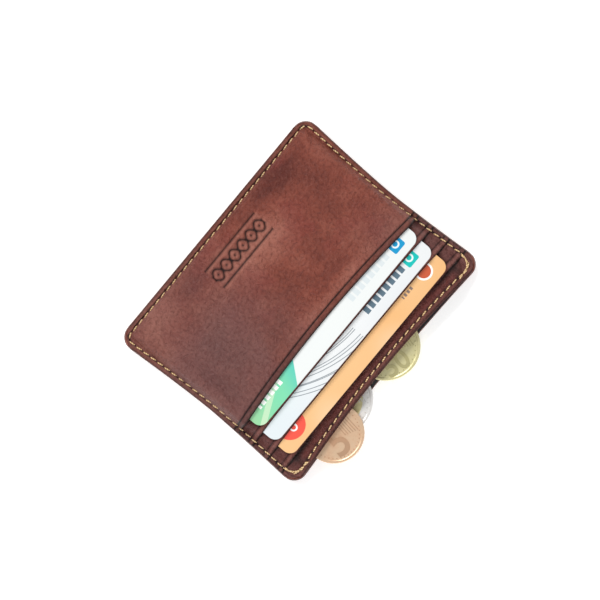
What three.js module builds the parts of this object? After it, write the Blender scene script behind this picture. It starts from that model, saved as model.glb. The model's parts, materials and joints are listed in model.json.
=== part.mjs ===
// Leather card wallet with a coin pocket behind its card slots, lying on its back.
// Millimetres. +X runs along the long side, +Y to the open edge, +Z out of the front.
// Every leather or cloth layer is a thin sheet over one shared grid. A sheet lies at its
// own level of the seam stack round the border and swells to its level of the card stack
// inside it, so layers that share a seam can't cut into each other.
import * as THREE from 'three';

// Outline of the body.
const HALF_LENGTH = 40;            // half of the body along Y
const HALF_WAIST = 48.9;           // half width at the middle of the sides
const FLARE = 1.9;                 // how much wider it is at the corners
const FLARE_POWER = 1.5;           // how late along the side it widens
const CORNER_R = 5.5;
const HEM_SAG = 2.4;               // the card side of the open edge hangs in the middle
const BACK_SAG = 1.1;              // and the back follows it a little

// Cards, at the size that all payment cards share.
const CARD_W = 85.6;
const CARD_L = 53.98;
const CARD_T = 0.76;
const CARD_R = 3.18;

// The card stack leans: the pocket is pinched at the bottom and open at the top.
const LEAN = THREE.MathUtils.degToRad(3.7);
const PINCH_Y = -36;               // levels of the stack are given at this place
const GAP = 0.1;                   // air between a card and the leather round it
const STRIP_GAP = 0.15;            // air between the base and the rear strip
const STRIP_T = 0.6;
const PANEL_T = 1.0;
const BASE_T = 0.8;
const CLOTH_T = 0.2;
const SKIN_GAP = 0.05;             // air between layers that are pressed together
const POCKET_LOW = 1.35;           // underside of the card side at the pinch

// Seam: the border where all layers are pared thin and sewn together.
const SEAM_X = 46.6;               // inside this the layers start to swell
const SEAM_Y = -37.3;
const FULL_X = 43.6;               // the full height is reached here
const FULL_Y = -35.9;
const SEAM_BACK = 2.6;             // the border floats above the table
const PARED_PANEL_T = 0.8;
const PARED_BASE_T = 0.6;
const PARED_STRIP_T = 0.4;
const TACK_START_Y = 33;           // above this the seam closes in towards the bar tacks
const TACK_END_Y = 38;
const TACK_INSET = 2;

// Slots, from the front: top edge of each strip, where its slot ends and its card.
const MOUTH_Y = 12.4;
const MOUTH_SAG = 2.4;
const STRIP_SAG = 0.6;
const ARM_LENGTH = 10;             // the part of a strip that is as wide as the body
const SHOULDER = 0.8;
const STEM_HALF = 44.6;            // half width of the strip below its arms
const ARM_CELLS = 3;               // grid cells from the stem's side to the outer edge
const FOOT = 2.4;                  // sewn-down foot of a strip
const FOOT_HALF = 41;              // half length of its thread
const SLOTS = [
  { strip: 'slot_strip_front', card: 'card_front', top: 19.0, foot: -29.0, cardX: -0.3, cardY: -35.9 },
  { strip: 'slot_strip_middle', card: 'card_middle', top: 26.0, foot: -22.0, cardX: 0.2, cardY: -28.8 },
  { strip: 'slot_strip_rear', card: 'card_rear', top: 32.8, foot: -14.8, cardX: 0.6, cardY: -21.8 },
];

// Coins, lying in the pocket and showing above its mouth. The copper one lies on the two-tone
// one, and the others on the back lining.
const COINS = [
  { name: 'coin_brass', colour: 'brass', radius: 12.0, thick: 2.3, x: -6.9, y: 32.9 },
  { name: 'coin_two_tone', colour: 'steel', radius: 12.8, thick: 2.2, x: 18.4, y: 31.5 },
  { name: 'coin_copper', colour: 'copper', radius: 10.6, thick: 1.67, x: 27.7, y: 38.2, onTwoTone: true },
];
const COIN_SIDES = 48;

// Thread.
const THREAD_W = 0.5;
const THREAD_T = 0.3;
const THREAD_GAP = 0.08;           // air under a thread, which bridges the facets
const HEM_THREAD_GAP = 0.16;
const HEM_HALF = 40;               // a column of the grid, so the thread follows its facets
const SIDE_INSET = 1.9;            // thread to edge at the sides
const BOTTOM_THREAD_Y = -37.7;
const THREAD_CORNER_Y = -35.3;
const HEM_INSET = 2.5;
const TACK_FROM_X = 41.2;
const TACK_TO_X = 47.9;
const TACK_FROM_Y = 36.05;
const TACK_TO_Y = 37.9;

const slope = Math.tan(LEAN);
const vertical = 1 / Math.cos(LEAN);
const smooth = (t) => THREE.MathUtils.smoothstep(t, 0, 1);
const mix = THREE.MathUtils.lerp;

// Levels of the card stack at the pinch, from the base panel to the front panel.
const baseLevel = POCKET_LOW + CLOTH_T + SKIN_GAP;
const cardPitch = STRIP_T + CARD_T * vertical + 2 * GAP;
const rearStripLow = baseLevel + BASE_T + STRIP_GAP;
const stripLow = [2, 1, 0].map((pitches) => rearStripLow + pitches * cardPitch);
const cardLow = stripLow.map((low) => low + STRIP_T + GAP);
const frontLow = cardLow[0] + CARD_T * vertical + GAP;

// Levels of the seam stack.
const seamBackLining = SEAM_BACK + PARED_PANEL_T + SKIN_GAP;
const seamLining = seamBackLining + CLOTH_T + SKIN_GAP;
const seamBase = seamLining + CLOTH_T + SKIN_GAP;
const seamArm = seamBase + PARED_BASE_T + SKIN_GAP;
const seamArmOverArm = seamArm + PARED_STRIP_T + SKIN_GAP;

// Half width of the body at y, with its hollow sides and round corners.
function halfWidth(y) {
  const along = Math.min(Math.abs(y), HALF_LENGTH);
  const side = HALF_WAIST + FLARE * (along / HALF_LENGTH) ** FLARE_POWER;
  const intoCorner = Math.max(0, along - (HALF_LENGTH - CORNER_R));
  return side - CORNER_R + Math.sqrt(CORNER_R ** 2 - intoCorner ** 2);
}

// How far a layer has swollen at a point: 0 on the seam, 1 over the cards.
function swell(x, y) {
  const tack = THREE.MathUtils.clamp((y - TACK_START_Y) / (TACK_END_Y - TACK_START_Y), 0, 1);
  const edge = SEAM_X - TACK_INSET * tack;
  const ramp = SEAM_X - FULL_X + 2 * TACK_INSET * tack;
  const across = smooth((edge - Math.abs(x)) / ramp);
  const up = smooth((y - SEAM_Y) / (FULL_Y - SEAM_Y));
  return across * up;
}

// A place that hangs by `sag` in the middle of the width and not at all at the seams.
const hang = (x, sag) => sag * Math.max(0, 1 - (x / SEAM_X) ** 2);

// The shared columns of the grid, from the left seam to the right.
const RIGHT = [8, 24, 36, 40, 41.8, FULL_X, STEM_HALF, 45.6, SEAM_X];
const INNER = [...RIGHT.map((x) => -x).reverse(), ...RIGHT];
const CROWD = 0.5;                 // columns stay this far apart where a corner narrows

// One row of points across a sheet whose half width there is `half`, less `inset`.
function rowAcross(half, yAt, inset = 0) {
  const last = INNER.length + 1;
  const row = [];
  for (let i = 0; i <= last; i += 1) {
    const fromEdge = Math.min(i, last - i);
    const side = i * 2 < last ? -1 : 1;
    const crowded = Math.min(Math.abs(INNER[i - 1]), half - CROWD * fromEdge);
    const x = side * (fromEdge === 0 ? half - inset : crowded);
    row.push([x, yAt(x)]);
  }
  return row;
}

// A closed sheet over rows of [x, y] points, between low(x, y) and low + thick(x, y).
// keep(row, cell) leaves cells of the grid out, for a sheet that isn't a plain rectangle.
function sheetGeometry(rows, low, thick, keep = () => true) {
  const across = rows[0].length;
  const count = rows.length * across;
  const position = [];
  for (const raise of [0, 1]) {
    for (const row of rows) {
      for (const [x, y] of row) position.push(x, y, low(x, y) + raise * thick(x, y));
    }
  }
  const kept = (r, i) => r >= 0 && i >= 0 && r + 1 < rows.length && i + 1 < across && keep(r, i);
  const index = [];
  const quad = (a, b, c, d) => index.push(a, b, c, a, c, d);
  const wall = (a, b) => quad(a, b, count + b, count + a);
  for (let r = 0; r + 1 < rows.length; r += 1) {
    for (let i = 0; i + 1 < across; i += 1) {
      if (!kept(r, i)) continue;
      const a = r * across + i;
      const above = a + across;
      quad(count + a, count + a + 1, count + above + 1, count + above);
      quad(a, above, above + 1, a + 1);
      if (!kept(r - 1, i)) wall(a, a + 1);
      if (!kept(r, i + 1)) wall(a + 1, above + 1);
      if (!kept(r + 1, i)) wall(above + 1, above);
      if (!kept(r, i - 1)) wall(above, a);
    }
  }
  const geometry = new THREE.BufferGeometry();
  geometry.setAttribute('position', new THREE.Float32BufferAttribute(position, 3));
  geometry.setIndex(index);
  return geometry.toNonIndexed();
}

const MATERIALS = {
  leather: new THREE.MeshStandardMaterial({ color: 0x6b3a33, roughness: 0.5 }),
  cloth: new THREE.MeshStandardMaterial({ color: 0x17151a, roughness: 0.9 }),
  thread: new THREE.MeshStandardMaterial({ color: 0xd9b46c, roughness: 0.6 }),
  card_pale: new THREE.MeshStandardMaterial({ color: 0xe9f0f2, roughness: 0.3 }),
  card_warm: new THREE.MeshStandardMaterial({ color: 0xf0a24a, roughness: 0.3 }),
  brass: new THREE.MeshStandardMaterial({ color: 0xb5a765, roughness: 0.35, metalness: 1 }),
  steel: new THREE.MeshStandardMaterial({ color: 0xc9c8c2, roughness: 0.35, metalness: 1 }),
  copper: new THREE.MeshStandardMaterial({ color: 0xc48a62, roughness: 0.35, metalness: 1 }),
};

const wallet = new THREE.Group();

function add(name, geometry, material) {
  const mesh = new THREE.Mesh(geometry, MATERIALS[material]);
  mesh.name = name;
  wallet.add(mesh);
  return mesh;
}

const planeAt = (level, y) => level + slope * (y - PINCH_Y);

// Height of a layer's underside that is `seam` at the border and `plane` over the cards.
const layer = (seam, level) => (x, y) => mix(seam, planeAt(level, y), swell(x, y));
const pared = (thin, full) => (x, y) => mix(thin, full, swell(x, y));

// Rows of the layers that have the body's whole outline.
const BOTTOM_ROWS = [-40, -39.4, -38.4, SEAM_Y, -36.8, -36.35, FULL_Y];
const BODY_ROWS = [...BOTTOM_ROWS, -27, -18, -9, 0, 9, 16, 22.8, 28, 32.8, 34.5, 36, 37, 38, 39.3, 40];

function bodyRows(sag, inset = 0) {
  const ys = inset > 0 ? BODY_ROWS.slice(1, -1) : BODY_ROWS;
  return ys.map((y) => {
    const share = Math.max(0, y / HALF_LENGTH) ** 2;
    return rowAcross(halfWidth(y), (x) => y - hang(x, sag) * share, inset);
  });
}

// Back of the wallet: it rests flat on the table and its border rises to the seam.
const backLow = (x, y) => mix(SEAM_BACK, 0, swell(x, y));
const backThick = pared(PARED_PANEL_T, PANEL_T);
const backLiningLow = (x, y) => backLow(x, y) + backThick(x, y) + SKIN_GAP;
const clothThick = () => CLOTH_T;
const CLOTH_INSET = 0.3;           // the cloth stops short of the painted edge
add('back_panel', sheetGeometry(bodyRows(BACK_SAG), backLow, backThick), 'leather');
add('back_lining', sheetGeometry(bodyRows(BACK_SAG, CLOTH_INSET), backLiningLow, clothThick), 'cloth');

// Card side: its lining and the base panel that carries the slots.
const liningLow = layer(seamLining, POCKET_LOW);
const baseLow = layer(seamBase, baseLevel);
const baseThick = pared(PARED_BASE_T, BASE_T);
const baseTop = (x, y) => baseLow(x, y) + baseThick(x, y);
add('pocket_lining', sheetGeometry(bodyRows(HEM_SAG, CLOTH_INSET), liningLow, clothThick), 'cloth');
add('base_panel', sheetGeometry(bodyRows(HEM_SAG), baseLow, baseThick), 'leather');

// A thread laid across the wallet with its underside at `low`.
function crossThread(name, half, yAt, low) {
  const columns = [-half, ...INNER.filter((x) => Math.abs(x) < half - CROWD), half];
  const rows = [-THREAD_W / 2, THREAD_W / 2].map((off) => columns.map((x) => [x, yAt(x) + off]));
  add(name, sheetGeometry(rows, low, () => THREAD_T), 'thread');
}

// Slot strips: wide arms sewn into the side seams, a narrower stem and a sewn-down foot.
const FOOT_DROP = 1.8;             // length over which the foot comes down to the base
const FOOT_THREAD = 1.2;           // the foot's thread, below the end of that drop
const FOOT_PARED_T = 0.3;
const STEP = 0.7;                  // length of the step up onto the arm of the next strip

// Level of a strip's arms, or the front panel, in the seam: it steps up onto the arm below.
function armSeam(armBelow, y) {
  const start = armBelow - SHOULDER - STEP;
  return mix(seamArm, seamArmOverArm, THREE.MathUtils.clamp((y - start) / STEP, 0, 1));
}
const armEnds = SLOTS.map(({ top }) => top - ARM_LENGTH);

SLOTS.forEach(({ strip, top, foot }, i) => {
  const armEnd = armEnds[i];
  const armBelow = armEnds[i + 1] ?? Infinity;
  const footEnd = foot - FOOT_DROP;
  const footLow = baseLevel + BASE_T + SKIN_GAP;
  const above = (y) => smooth((y - footEnd) / FOOT_DROP);
  const low = (x, y) => {
    const level = mix(footLow, stripLow[i], above(y));
    return mix(armSeam(armBelow, y), planeAt(level, y), swell(x, y));
  };
  const thick = (x, y) => mix(FOOT_PARED_T, mix(PARED_STRIP_T, STRIP_T, swell(x, y)), above(y));
  const drop = [0, 1 / 3, 2 / 3, 1].map((share) => footEnd + share * FOOT_DROP);
  const ys = [footEnd - FOOT, ...drop, ...BODY_ROWS.filter((y) => y > foot && y < top), armEnd, top];
  if (Number.isFinite(armBelow)) ys.push(armBelow - SHOULDER - STEP, armBelow - SHOULDER);
  const levels = [...new Set(ys)].sort((a, b) => a - b);
  const rows = levels.map((y) => {
    const share = Math.max(0, y - armEnd) / ARM_LENGTH;
    return rowAcross(halfWidth(y), (x) => y - hang(x, STRIP_SAG) * share);
  });
  const inStem = (cell) => cell >= ARM_CELLS && cell < INNER.length + 1 - ARM_CELLS;
  const keep = (r, cell) => levels[r] >= armEnd || inStem(cell);
  add(strip, sheetGeometry(rows, low, thick, keep), 'leather');
  const footTop = (x, y) => planeAt(footLow, y) + FOOT_PARED_T + SKIN_GAP;
  const threadY = footEnd - FOOT_THREAD;
  crossThread(strip.replace('slot_strip', 'foot_thread'), FOOT_HALF, () => threadY, footTop);
});

// Front panel: sewn in on three sides, open along its mouth.
const mouthAt = (x) => MOUTH_Y - hang(x, MOUTH_SAG);
const frontSeam = (y) => armSeam(armEnds[0], y);
const step = armEnds[0] - SHOULDER;
const FRONT_ROWS = [...BODY_ROWS.filter((y) => y < step - STEP), step - STEP, step];
const frontRows = FRONT_ROWS.map((y) => rowAcross(halfWidth(y), () => y));
frontRows.push(rowAcross(halfWidth(MOUTH_Y), mouthAt));
const frontPanelLow = (x, y) => mix(frontSeam(y), planeAt(frontLow, y), swell(x, y));
const frontThick = pared(PARED_PANEL_T, PANEL_T);
add('front_panel', sheetGeometry(frontRows, frontPanelLow, frontThick), 'leather');

// Thread that is laid along a path of [x, y] points with its underside at low(y).
function pathThread(name, path, low) {
  const rows = path.map(([x, y], i) => {
    const [fromX, fromY] = path[Math.max(0, i - 1)];
    const [toX, toY] = path[Math.min(path.length - 1, i + 1)];
    const length = Math.hypot(toX - fromX, toY - fromY);
    const leftX = -(toY - fromY) / length;
    const leftY = (toX - fromX) / length;
    return [1, -1].map((side) => [x + side * leftX * THREAD_W / 2, y + side * leftY * THREAD_W / 2]);
  });
  add(name, sheetGeometry(rows, (x, y) => low(y), () => THREAD_T), 'thread');
}

// Topmost surface in the side seams. A thread overshoots each step and then drops.
const OVERSHOOT = 0.45;
const ledges = [
  { end: MOUTH_Y, top: (y) => frontSeam(y) + PARED_PANEL_T },
  ...SLOTS.map(({ top }, i) => (
    { end: top, top: (y) => armSeam(armEnds[i + 1] ?? Infinity, y) + PARED_STRIP_T })),
  { end: TACK_FROM_Y, top: () => seamBase + PARED_BASE_T },
];
const lastLedge = ledges[ledges.length - 1];
const ledgeAt = (y) => ledges.find(({ end }) => y <= end + 1.5 * OVERSHOOT) ?? lastLedge;
const sideYs = [THREAD_CORNER_Y, -17, 0, TACK_FROM_Y - OVERSHOOT];
for (const { end } of ledges.slice(0, -1)) sideYs.push(end + OVERSHOOT, end + 2 * OVERSHOOT);
for (const end of armEnds.slice(0, 3)) sideYs.push(end - SHOULDER - STEP, end - SHOULDER);
sideYs.sort((a, b) => a - b);

// The border path, from the top of the left side round the bottom to the top of the right.
const sideX = (y) => halfWidth(y) - SIDE_INSET;
const bendR = THREAD_CORNER_Y - BOTTOM_THREAD_Y;
const bend = [15, 30, 45, 60, 75, 90].map((degrees) => {
  const angle = THREE.MathUtils.degToRad(degrees);
  const x = sideX(THREAD_CORNER_Y) - bendR * (1 - Math.cos(angle));
  return [x, THREAD_CORNER_Y - bendR * Math.sin(angle)];
});
const rightSide = [...[...bend].reverse(), ...sideYs.map((y) => [sideX(y), y])];
const leftSide = rightSide.map(([x, y]) => [-x, y]).reverse();
const border = [...leftSide, [0, BOTTOM_THREAD_Y], ...rightSide];
pathThread('seam_thread_front', border, (y) => ledgeAt(y).top(y) + THREAD_GAP);
pathThread('seam_thread_back', border, () => SEAM_BACK - THREAD_GAP - THREAD_T);

// Hem of the card side, and the bar tacks that end the pocket's mouth.
const hemY = (x) => HALF_LENGTH - HEM_INSET - hang(x, HEM_SAG);
const hemFront = (x, y) => baseTop(x, y) + HEM_THREAD_GAP;
const hemBack = (x, y) => liningLow(x, y) - THREAD_T - HEM_THREAD_GAP;
crossThread('hem_thread_front', HEM_HALF, hemY, hemFront);
crossThread('hem_thread_back', HEM_HALF, hemY, hemBack);
for (const [name, side] of [['bar_tack_left', -1], ['bar_tack_right', 1]]) {
  const reach = [TACK_FROM_X, ...RIGHT.filter((x) => x > TACK_FROM_X + CROWD), TACK_TO_X];
  const columns = side < 0 ? reach.map((x) => -x).reverse() : reach;
  const rows = [TACK_FROM_Y, TACK_TO_Y].map((y) => columns.map((x) => [x, y]));
  add(name, sheetGeometry(rows, hemFront, () => THREAD_T), 'thread');
}

// Cards, lying in the lean of the stack, their lower edge on the sewn end of the slot.
const CARD_ARC_POINTS = 6;
const outline = new THREE.Shape();
const right = CARD_W / 2;
outline.absarc(right - CARD_R, CARD_R, CARD_R, -Math.PI / 2, 0);
outline.absarc(right - CARD_R, CARD_L - CARD_R, CARD_R, 0, Math.PI / 2);
outline.absarc(CARD_R - right, CARD_L - CARD_R, CARD_R, Math.PI / 2, Math.PI);
outline.absarc(CARD_R - right, CARD_R, CARD_R, Math.PI, 1.5 * Math.PI);
outline.closePath();
SLOTS.forEach(({ card, cardX, cardY }, i) => {
  const options = { depth: CARD_T, bevelEnabled: false, curveSegments: CARD_ARC_POINTS };
  const colour = i === 2 ? 'card_warm' : 'card_pale';
  const mesh = add(card, new THREE.ExtrudeGeometry(outline, options), colour);
  mesh.position.set(cardX, cardY, planeAt(cardLow[i], cardY));
  mesh.rotation.x = LEAN;
});

// Coins, flat in the pocket.
const pocketFloor = PANEL_T + SKIN_GAP + CLOTH_T + GAP;
const twoTone = COINS.find(({ name }) => name === 'coin_two_tone');
COINS.forEach(({ name, colour, radius, thick, x, y, onTwoTone }) => {
  const mesh = add(name, new THREE.CylinderGeometry(radius, radius, thick, COIN_SIDES), colour);
  const bottom = onTwoTone ? pocketFloor + twoTone.thick + GAP : pocketFloor;
  mesh.position.set(x, y, bottom + thick / 2);
  mesh.rotation.x = Math.PI / 2;
});

export default wallet;
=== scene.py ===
# %% [markdown]
# # A leather card wallet
# The wallet lies on its back: a leather back, a coin pocket, a base panel with three stepped
# slot strips, a front panel sewn round three sides, three cards and three coins. The frame
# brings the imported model, so every piece below is made in its place, in metres.

# %% Load the frame
import bpy
import json
import math
import numpy as np
from mathutils import Matrix, Vector


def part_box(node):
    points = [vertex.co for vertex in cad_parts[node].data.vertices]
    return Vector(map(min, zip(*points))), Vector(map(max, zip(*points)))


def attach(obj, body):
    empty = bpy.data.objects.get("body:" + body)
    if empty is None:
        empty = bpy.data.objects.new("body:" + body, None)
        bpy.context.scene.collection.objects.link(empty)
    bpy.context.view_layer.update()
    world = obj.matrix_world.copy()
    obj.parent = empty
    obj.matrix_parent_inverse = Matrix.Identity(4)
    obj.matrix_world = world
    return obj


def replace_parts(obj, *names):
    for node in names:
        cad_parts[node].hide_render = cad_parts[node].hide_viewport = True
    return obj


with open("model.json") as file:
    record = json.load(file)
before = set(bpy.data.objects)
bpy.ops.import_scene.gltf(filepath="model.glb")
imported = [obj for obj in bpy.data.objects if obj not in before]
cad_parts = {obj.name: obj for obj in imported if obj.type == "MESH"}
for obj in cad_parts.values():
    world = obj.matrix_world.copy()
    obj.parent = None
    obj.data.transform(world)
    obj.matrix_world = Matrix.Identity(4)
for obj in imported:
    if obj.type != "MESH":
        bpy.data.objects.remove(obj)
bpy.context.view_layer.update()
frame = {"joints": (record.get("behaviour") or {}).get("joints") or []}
MM = 0.001

# %% [markdown]
# The stack of layers leans, because the pocket is pinched at its bottom seam. The joints of the
# cards say how much, and the boxes of the cards say at which level each one lies. The sizes that
# no box can give, such as the hollow of the sides, are named here once.

# %% Facts of this wallet
slide = next(j for j in frame["joints"] if j["name"] == "front_card_slide")["axis"]
LEAN = slide[2] / slide[1]
PINCH_Y = -36 * MM
HALF_LENGTH = 40 * MM
HALF_WAIST = 48.9 * MM
FLARE = 1.9 * MM
FLARE_POWER = 1.5
CORNER_R = 5.5 * MM
SEAM_X = 46.6 * MM
SEAM_Y = -37.3 * MM
SIDE_INSET = 2.1 * MM
TOP_INSET = 0.75 * MM              # how far the layers on the back stay inside its edge
THREAD_Y = -37.7 * MM
HEM_INSET = 2.5 * MM
HEM_SAG = 2.4 * MM
BACK_SAG = 1.1 * MM
MOUTH_Y = 12.4 * MM
MOUTH_SAG = 2.4 * MM
CARD_T = 0.76 * MM
SEAM_BACK = 2.6 * MM
CARDS = ("card_front", "card_middle", "card_rear")
STRIPS = ("slot_strip_front", "slot_strip_middle", "slot_strip_rear")


def level_of(node):
    """Height of a leaning node's underside at the pinch, from its box."""
    low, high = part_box(node)
    return low[2] - LEAN * (low[1] - PINCH_Y)


card_level = {name: level_of(name) for name in CARDS}
print("lean", round(LEAN, 4), {n: round(z / MM, 2) for n, z in card_level.items()})

# %% [markdown]
# Each layer is worked out with a few short rules for a whole array of points at once: the half
# width of the body, how far a layer has swollen between the seam and the cards, and a soft bump
# that grooves, creases and puckers are made of.

# %% Rules for the shape of a layer


def ease(t):
    t = np.clip(t, 0, 1)
    return t * t * (3 - 2 * t)


def bump(d, width):
    return np.exp(-((d / width) ** 2))


def mark(distance, place, width):
    """A soft line across the leather; its place and half width are in mm."""
    return bump(distance - place * MM, width * MM)


def half_width(y):
    along = np.minimum(np.abs(y), HALF_LENGTH)
    side = HALF_WAIST + FLARE * (along / HALF_LENGTH) ** FLARE_POWER
    corner = np.maximum(0, along - (HALF_LENGTH - CORNER_R))
    return side - CORNER_R + np.sqrt(np.maximum(CORNER_R**2 - corner**2, 0))


def from_side(x, y, inset=TOP_INSET):
    """Distance of a point from the side edge of a layer that is cut a little smaller."""
    return half_width(y) - inset - np.abs(x)


def hang(x, sag):
    return sag * np.maximum(0, 1 - (x / SEAM_X) ** 2)


def swell(x, y, puff=1.0):
    """0 on the seam and 1 over the cards; puff above 1 rises fast, like a stuffed layer."""
    tack = np.clip((y - 33 * MM) / (5 * MM), 0, 1)
    edge, ramp = SEAM_X - 2 * MM * tack, 3 * MM + 4 * MM * tack
    across = np.clip((edge - np.abs(x)) / ramp, 0, 1)
    up = np.clip((y - SEAM_Y) / (1.35 * MM), 0, 1)
    if puff > 1:
        return (1 - (1 - across) ** puff) * (1 - (1 - up) ** puff)
    return ease(across) * ease(up)


def plane(level, y):
    return level + LEAN * (y - PINCH_Y)


def steps(*stops):
    """Places between stops, each stop given as (place, step that leads up to it)."""
    out = [stops[0][0]]
    for (start, _), (end, step) in zip(stops, stops[1:]):
        count = max(1, round((end - start) / step))
        out += [start + (end - start) * (i + 1) / count for i in range(count)]
    return np.array(out) * MM


# %% [markdown]
# The camera looks straight down through a long lens, turned so that the open edge points to the lower
# right. The floor is plain and pale, and it glows a little, so that the shadows on it are washed out. Two
# large soft lights stand at the sides, where the camera doesn't see them mirrored in flat leather: only its
# grain and its creases catch them.

# %% Camera, floor and light
PICTURE = 206.9 * MM               # width of the picture at the height of the cards
LENS = 200
RIGHT = Vector((-0.638, 0.770, 0)).normalized()
UP = Vector((-0.770, -0.638, 0)).normalized()


def look_down():
    data = bpy.data.cameras.new("camera")
    data.lens = LENS
    data.clip_end = 10
    camera = bpy.data.objects.new("camera", data)
    bpy.context.scene.collection.objects.link(camera)
    height = PICTURE * LENS / data.sensor_width + 8 * MM
    turn = Matrix((RIGHT, UP, Vector((0, 0, 1)))).transposed().to_4x4()
    centre = UP * 0.28 * MM
    camera.matrix_world = Matrix.Translation((centre.x, centre.y, height)) @ turn
    bpy.context.scene.camera = camera
    return camera


def soft_light(name, place, size, power, colour=(1, 1, 1)):
    data = bpy.data.lights.new(name, "AREA")
    data.shape = "RECTANGLE"
    data.size, data.size_y = size
    data.energy = power
    data.color = colour
    light = bpy.data.objects.new(name, data)
    bpy.context.scene.collection.objects.link(light)
    light.location = place
    light.rotation_euler = (-Vector(place)).to_track_quat("-Z", "Y").to_euler()


def clear_selection():
    for o in bpy.context.selected_objects:
        o.select_set(False)


def pick(piece, kind, wanted):
    """Goes into edit mode with only those faces or edges selected that are wanted."""
    bpy.ops.object.mode_set(mode="EDIT")
    bpy.ops.mesh.select_mode(type=kind)
    bpy.ops.mesh.select_all(action="DESELECT")
    bpy.ops.object.mode_set(mode="OBJECT")
    for part in piece.data.polygons if kind == "FACE" else piece.data.edges:
        part.select = wanted(part)
    bpy.ops.object.mode_set(mode="EDIT")


look_down()
soft_light("key_panel", (-0.20, -0.80, 0.75), (0.8, 0.5), 11.5, (1, 0.99, 0.975))
soft_light("fill_panel", (0.45, 0.75, 0.70), (0.9, 0.7), 8.5)
world = bpy.data.worlds.new("studio")
bpy.context.scene.world = world
world.use_nodes = True
world.node_tree.nodes["Background"].inputs["Color"].default_value = (1, 1, 1, 1)
world.node_tree.nodes["Background"].inputs["Strength"].default_value = 0.36
bpy.context.scene.view_settings.view_transform = "Standard"

clear_selection()
bpy.ops.mesh.primitive_plane_add(size=6)
floor = bpy.context.object
floor.name = "floor"
paper = bpy.data.materials.new("glowing_white_paper")
paper.use_nodes = True
# The paper's emission is a painted glow that washes out the shadows on the floor.
for socket, value in (("Base Color", (0.97, 0.97, 0.97, 1)), ("Roughness", 0.9),
                      ("Emission Color", (1, 1, 1, 1)), ("Emission Strength", 0.28)):
    paper.node_tree.nodes["Principled BSDF"].inputs[socket].default_value = value
floor.data.materials.append(paper)

# %% [markdown]
# Every finish is a small recipe of texture nodes on the Principled shader. This helper keeps the
# recipes short: it adds a node, joins what it is given and hands back the output.

# %% A helper for finishes


class Finish:
    def __init__(self, name, roughness=0.5, metallic=0.0):
        self.material = bpy.data.materials.new(name)
        self.material.use_nodes = True
        self.tree = self.material.node_tree
        self.shader = self.tree.nodes["Principled BSDF"]
        self.set("Roughness", roughness)
        self.set("Metallic", metallic)
        self.place = self.add("ShaderNodeTexCoord").outputs["Object"]

    def add(self, kind, **settings):
        node = self.tree.nodes.new(kind)
        for key, value in settings.items():
            setattr(node, key, value)
        return node

    def join(self, value, socket):
        if isinstance(value, bpy.types.NodeSocket):
            self.tree.links.new(value, socket)
        elif socket.type == "RGBA" and len(value) == 3:
            socket.default_value = (*value, 1)
        else:
            socket.default_value = value

    def set(self, socket, value):
        self.join(value, self.shader.inputs[socket])

    def maths(self, operation, *values):
        node = self.add("ShaderNodeMath", operation=operation)
        for value, socket in zip(values, node.inputs):
            self.join(value, socket)
        return node.outputs[0]

    def times(self, a, b):
        return self.maths("MULTIPLY", a, b)

    def minus(self, a, b):
        return self.maths("SUBTRACT", a, b)

    def range(self, value, low, high, to_low=0.0, to_high=1.0, smooth=True):
        kind = "SMOOTHSTEP" if smooth else "LINEAR"
        node = self.add("ShaderNodeMapRange", interpolation_type=kind)
        for value_in, name in ((value, "Value"), (low, "From Min"), (high, "From Max"),
                               (to_low, "To Min"), (to_high, "To Max")):
            self.join(value_in, node.inputs[name])
        return node.outputs[0]

    def mix(self, share, a, b):
        node = self.add("ShaderNodeMix", data_type="RGBA")
        self.join(share, node.inputs["Factor"])
        self.join(a, node.inputs[6])
        self.join(b, node.inputs[7])
        return node.outputs[2]

    def noise(self, scale, detail=2.0, rough=0.5, distortion=0.0):
        node = self.add("ShaderNodeTexNoise")
        for name, value in (("Scale", scale), ("Detail", detail), ("Roughness", rough),
                            ("Distortion", distortion)):
            node.inputs[name].default_value = value
        self.join(self.place, node.inputs["Vector"])
        return node.outputs["Fac"]

    def cell_edges(self, scale):
        """Distance to the nearest wall between cells."""
        node = self.add("ShaderNodeTexVoronoi", feature="DISTANCE_TO_EDGE")
        node.inputs["Scale"].default_value = scale
        self.join(self.place, node.inputs["Vector"])
        return node.outputs["Distance"]

    def painted(self, name):
        return self.add("ShaderNodeAttribute", attribute_name=name).outputs["Fac"]

    def xyz(self):
        node = self.add("ShaderNodeSeparateXYZ")
        self.join(self.place, node.inputs[0])
        return node.outputs

    def relief(self, height, depth, strength=1.0, below=None):
        node = self.add("ShaderNodeBump")
        node.inputs["Strength"].default_value = strength
        node.inputs["Distance"].default_value = depth
        self.join(height, node.inputs["Height"])
        if below is not None:
            self.join(below, node.inputs["Normal"])
        return node.outputs["Normal"]


# %% [markdown]
# Pull-up leather is waxed: its colour wanders in clouds and it has a fine cell-like grain. The clouds,
# mottles and pebbles are three sizes of noise, and the pebbles are painted darker in their valleys and
# paler on their tops, as their shade and highlight. Four values that are painted on the mesh say what noise
# can't know: one is painted shade in the grooves, creases, needle holes and gaps between layers; one is
# wear on the edges together with painted highlights; one is paler and deeper patches, partly the leather's
# own colour and partly painted sheen and shade; and one is a greyish film, partly wax and partly a painted
# sheen.

# %% Leather
CLOUDS, STAINS, MOTTLES, PEBBLES, CELLS, PORES = 38, 75, 170, 820, 1150, 2900    # all per metre
WAX_FILM_AND_SHEEN = (0.150, 0.072, 0.068)
# Colour of the painted shade in grooves, creases, needle holes and the gaps between layers.
PAINTED_SHADE = (0.008, 0.003, 0.003)


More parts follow.
